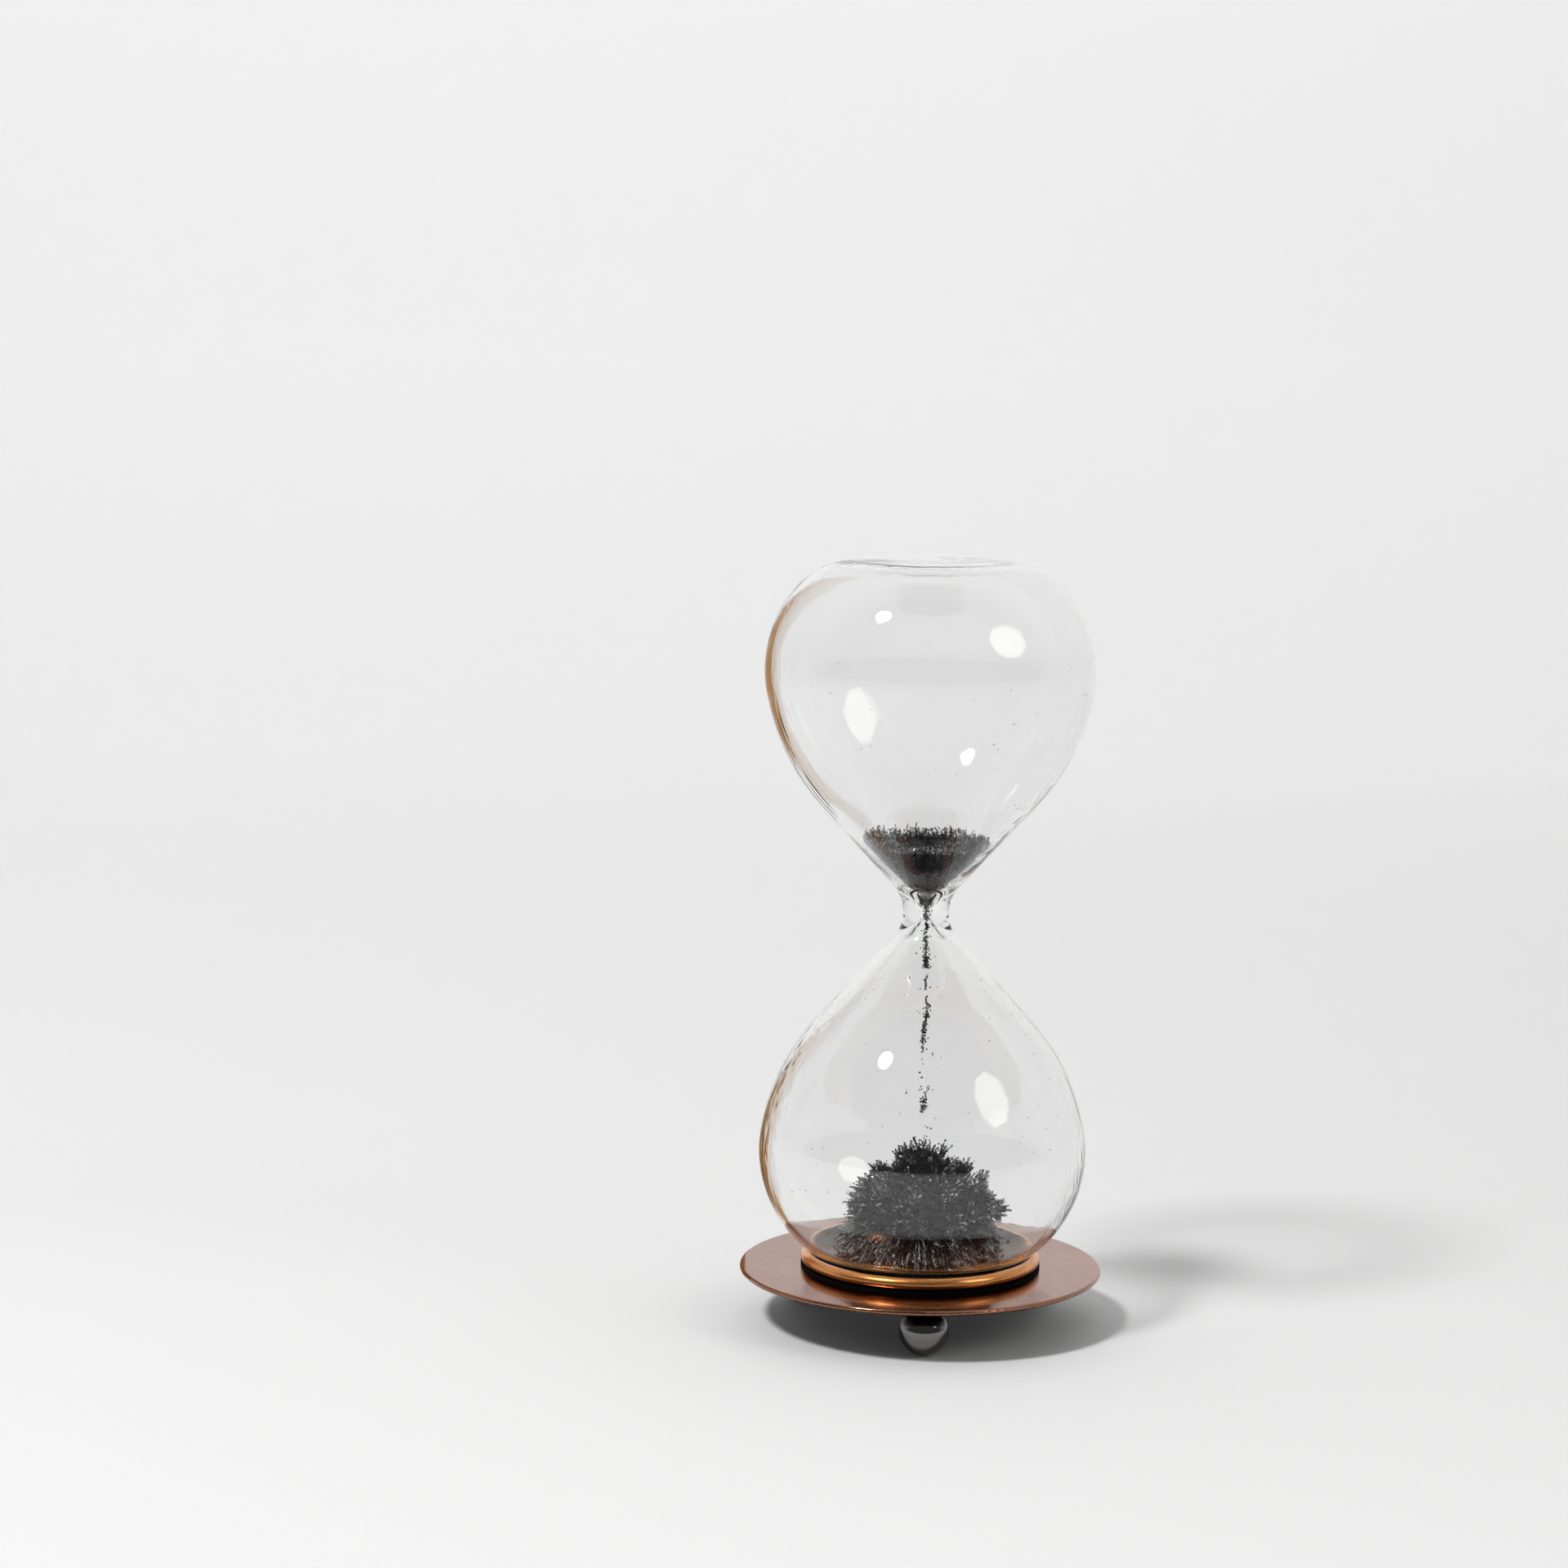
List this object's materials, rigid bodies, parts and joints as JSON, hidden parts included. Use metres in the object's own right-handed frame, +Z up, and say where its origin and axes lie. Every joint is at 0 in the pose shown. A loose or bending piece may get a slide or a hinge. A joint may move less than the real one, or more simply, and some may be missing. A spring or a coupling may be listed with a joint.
{
  "type": "magnetic hourglass desk sculpture",
  "caption": "Magnetic hourglass: a sealed glass vessel of iron filings standing loose in a wire ring on a round copper-plated plate with ball feet and a magnet under it.",
  "frame": {"origin": "on the plate's axis, at the level the three ball feet stand on", "axes": "+Z up along the glass; -Y is the front, where one of the three ball feet is"},
  "size_m": [0.08, 0.08, 0.169],
  "materials": {
    "copper_plate": "steel disc, antique copper plated, spun satin under clear lacquer",
    "copper_ring": "steel wire, antique copper plated, polished with a dark underside",
    "black_pad": "matt black foam rubber",
    "gunmetal": "polished black nickel",
    "stud_steel": "plain turned steel",
    "ferrite": "ground black ferrite",
    "tape": "white foam tape",
    "clear_glass": "clear blown glass with faint ripples",
    "iron_filings": "dark loose grains, bristling where the magnet pulls them up"
  },
  "bodies": {
    "stand": {"base_plate": "copper_plate", "cradle_ring": "copper_ring", "cradle_pad": "black_pad", "ball_foot_front": "gunmetal", "ball_foot_right": "gunmetal", "ball_foot_left": "gunmetal", "foot_stud_front": "stud_steel", "foot_stud_right": "stud_steel", "foot_stud_left": "stud_steel", "magnet_disc": "ferrite", "magnet_tape": "tape"},
    "vessel": {"glass_vessel": "clear_glass", "filings_heap": "iron_filings", "filings_stream": "iron_filings", "filings_mound": "iron_filings"}
  },
  "joints": [
    {"name": "glass_lift", "type": "slide", "parent": "stand", "child": "vessel", "axis": [0, 0, 1], "range_m": [0, 0.1]}
  ]
}
